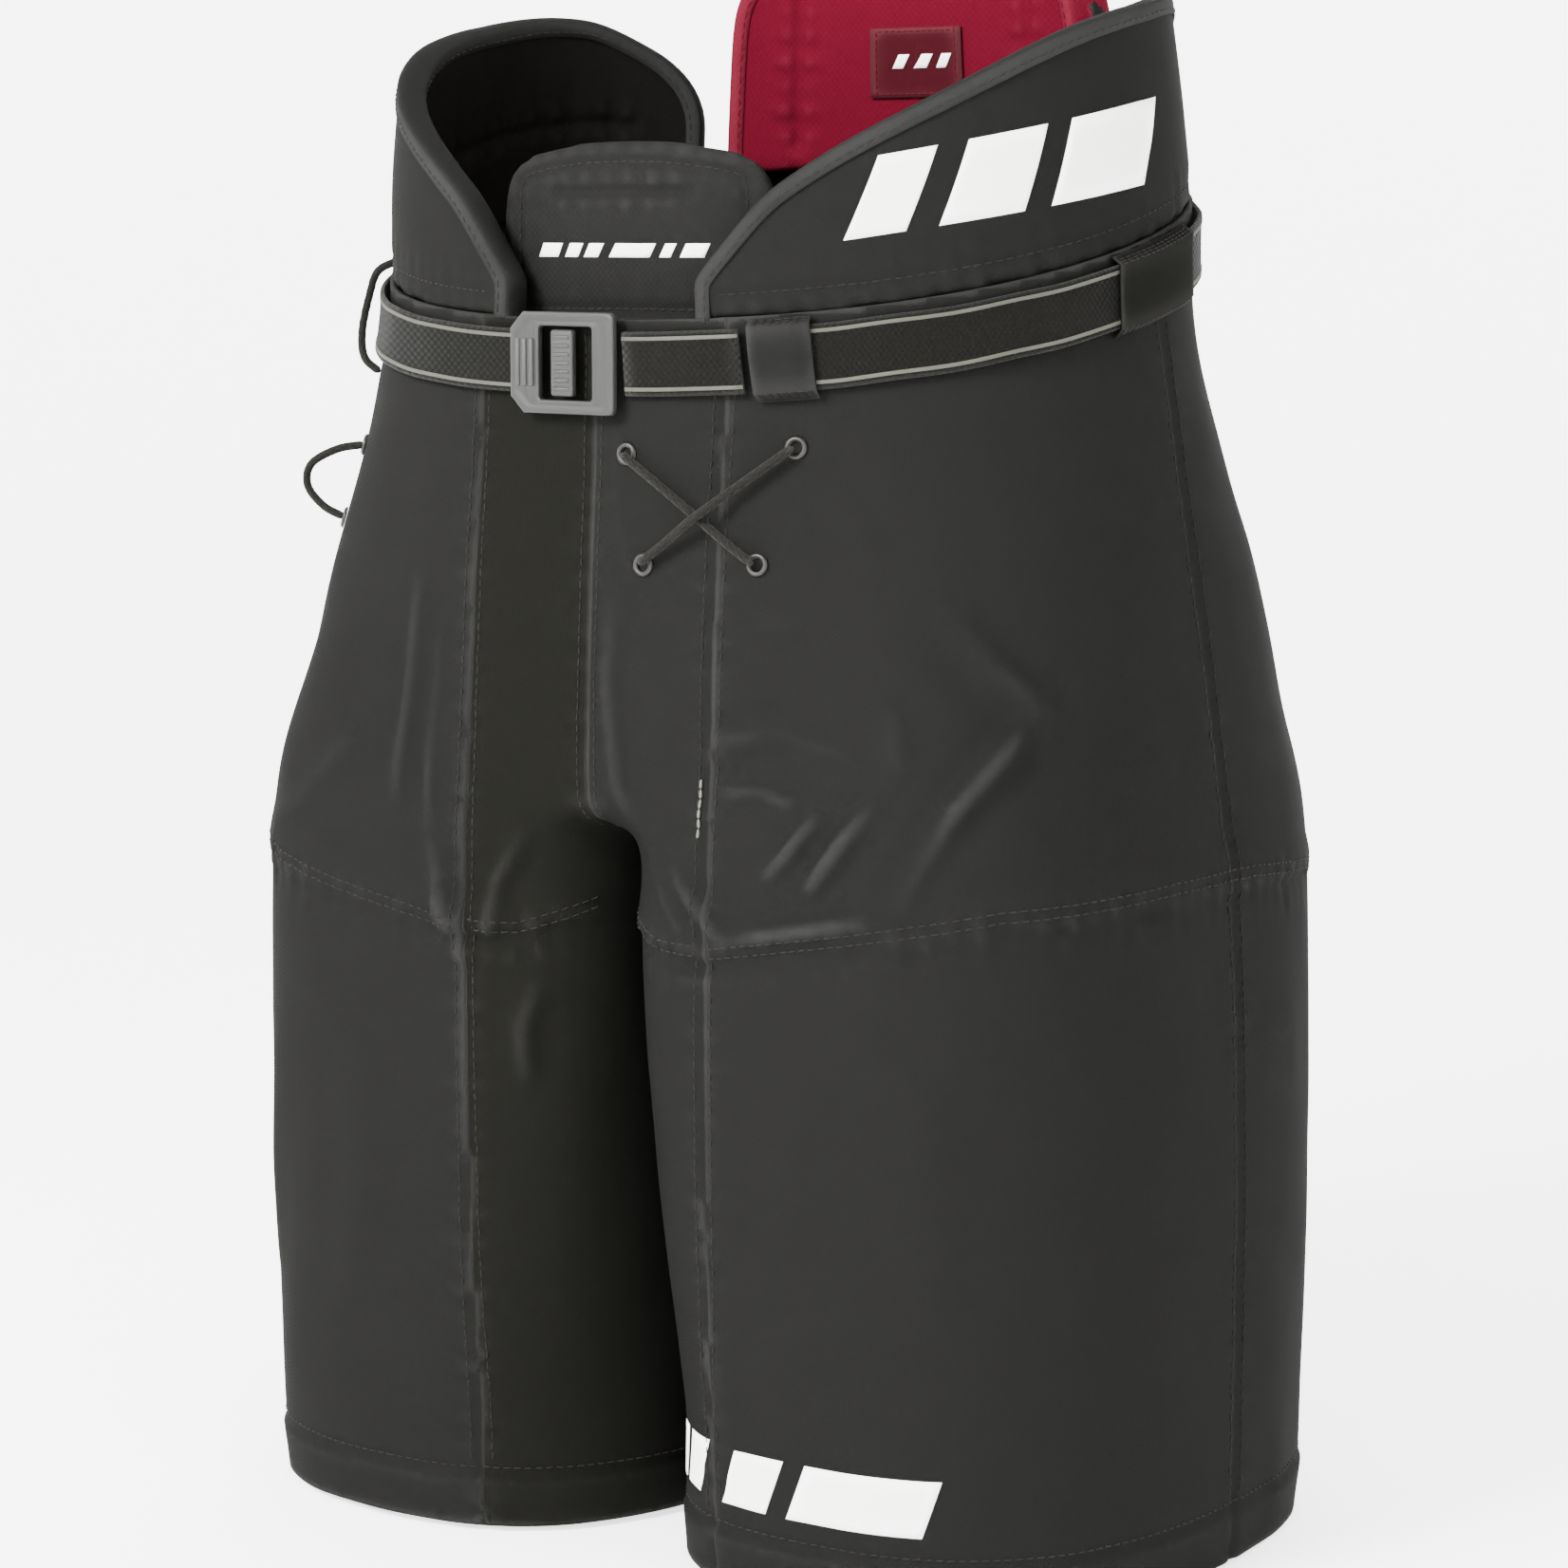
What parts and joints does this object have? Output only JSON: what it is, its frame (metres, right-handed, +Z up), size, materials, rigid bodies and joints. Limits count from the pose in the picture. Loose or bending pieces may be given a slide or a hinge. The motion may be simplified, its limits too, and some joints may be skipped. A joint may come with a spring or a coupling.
{
  "type": "ice hockey pants",
  "caption": "Padded nylon hockey pants: open waist with kidney flaps and spine guard, hook-buckle belt, laced fly and two wide swinging legs.",
  "frame": {"origin": "on the ground under the middle of the hems", "axes": "+Z up, the wearer faces -Y, the wearer's left is +X"},
  "size_m": [0.4406, 0.286, 0.662],
  "materials": {
    "nylon": "charcoal woven nylon, slight sheen",
    "dark_nylon": "darker stretch nylon",
    "dark_lining": "soft black lining",
    "grey_mesh": "grey brushed lining fabric",
    "red_lining": "red knitted lining",
    "label": "dark red woven label without text",
    "guard_plastic": "moulded polyethylene guard plate",
    "foam": "closed-cell foam",
    "buckle_plastic": "grey moulded acetal",
    "webbing": "woven polyester webbing with grey edge lines",
    "cord": "braided flat-round lace",
    "eyelet_metal": "dark plated eyelet"
  },
  "bodies": {
    "pelvis": {"fly_panel": "dark_nylon", "hip_shell_left_front": "nylon", "hip_shell_right_front": "nylon", "hip_shell_left_back": "nylon", "hip_shell_right_back": "nylon", "seat_panel": "dark_nylon", "crotch_gusset": "dark_nylon", "hip_plate_left": "guard_plastic", "hip_foam_left": "foam", "hip_plate_right": "guard_plastic", "hip_foam_right": "foam", "tailbone_plate": "guard_plastic", "belt_right": "webbing", "belt_back": "webbing", "belt_left": "webbing", "belt_tunnel": "nylon", "belt_loop_left": "dark_nylon", "belt_loop_right": "dark_nylon", "belt_loop_back": "dark_nylon", "buckle_catch": "buckle_plastic", "fly_eyelet_1": "eyelet_metal", "fly_eyelet_2": "eyelet_metal", "fly_eyelet_3": "eyelet_metal", "fly_eyelet_4": "eyelet_metal", "hip_eyelet_1": "eyelet_metal", "hip_eyelet_2": "eyelet_metal", "lace_cross_low": "cord", "lace_cross_high": "cord", "hip_lace_loop": "cord", "waist_lace_loop": "cord"},
    "leg_left": {"leg_front_left": "nylon", "leg_back_left": "nylon", "leg_inner_left": "dark_nylon", "thigh_plate_left": "guard_plastic", "side_plate_left": "guard_plastic", "thigh_foam_left": "foam", "hem_band_left": "dark_nylon"},
    "wing_left": {"wing_cover_left": "nylon", "wing_foam_left": "foam", "wing_lining_left": "dark_lining"},
    "leg_right": {"leg_front_right": "nylon", "leg_back_right": "nylon", "leg_inner_right": "dark_nylon", "thigh_plate_right": "guard_plastic", "side_plate_right": "guard_plastic", "thigh_foam_right": "foam", "hem_band_right": "dark_nylon"},
    "wing_right": {"wing_cover_right": "nylon", "wing_foam_right": "foam", "wing_lining_right": "dark_lining"},
    "spine_guard": {"spine_cover": "nylon", "spine_plate": "guard_plastic", "spine_foam": "foam", "back_lining": "red_lining", "lining_label": "label"},
    "tongue": {"tongue_cover": "grey_mesh", "tongue_foam": "foam"},
    "belt_end": {"belt_end": "webbing", "buckle_frame": "buckle_plastic"}
  },
  "joints": [
    {"name": "hip_left", "type": "hinge", "parent": "pelvis", "child": "leg_left", "pos_m": [0.104, 0, 0.42], "axis": [-1, 0, 0], "range_deg": [-15, 40]},
    {"name": "hip_right", "type": "hinge", "parent": "pelvis", "child": "leg_right", "pos_m": [-0.104, 0, 0.42], "axis": [-1, 0, 0], "range_deg": [-15, 40]},
    {"name": "wing_left_flare", "type": "hinge", "parent": "pelvis", "child": "wing_left", "pos_m": [0.18, 0, 0.545], "axis": [0, 1, 0], "range_deg": [0, 15]},
    {"name": "wing_right_flare", "type": "hinge", "parent": "pelvis", "child": "wing_right", "pos_m": [-0.18, 0, 0.545], "axis": [0, -1, 0], "range_deg": [0, 15]},
    {"name": "spine_guard_tilt", "type": "hinge", "parent": "pelvis", "child": "spine_guard", "pos_m": [0, 0.127, 0.566], "axis": [-1, 0, 0], "range_deg": [0, 20]},
    {"name": "tongue_tilt", "type": "hinge", "parent": "pelvis", "child": "tongue", "pos_m": [0, -0.112, 0.454], "axis": [-1, 0, 0], "range_deg": [0, 25]},
    {"name": "belt_buckle_swing", "type": "hinge", "parent": "pelvis", "child": "belt_end", "pos_m": [0.07, -0.128, 0.487], "axis": [0, 0, 1], "range_deg": [0, 60]}
  ]
}
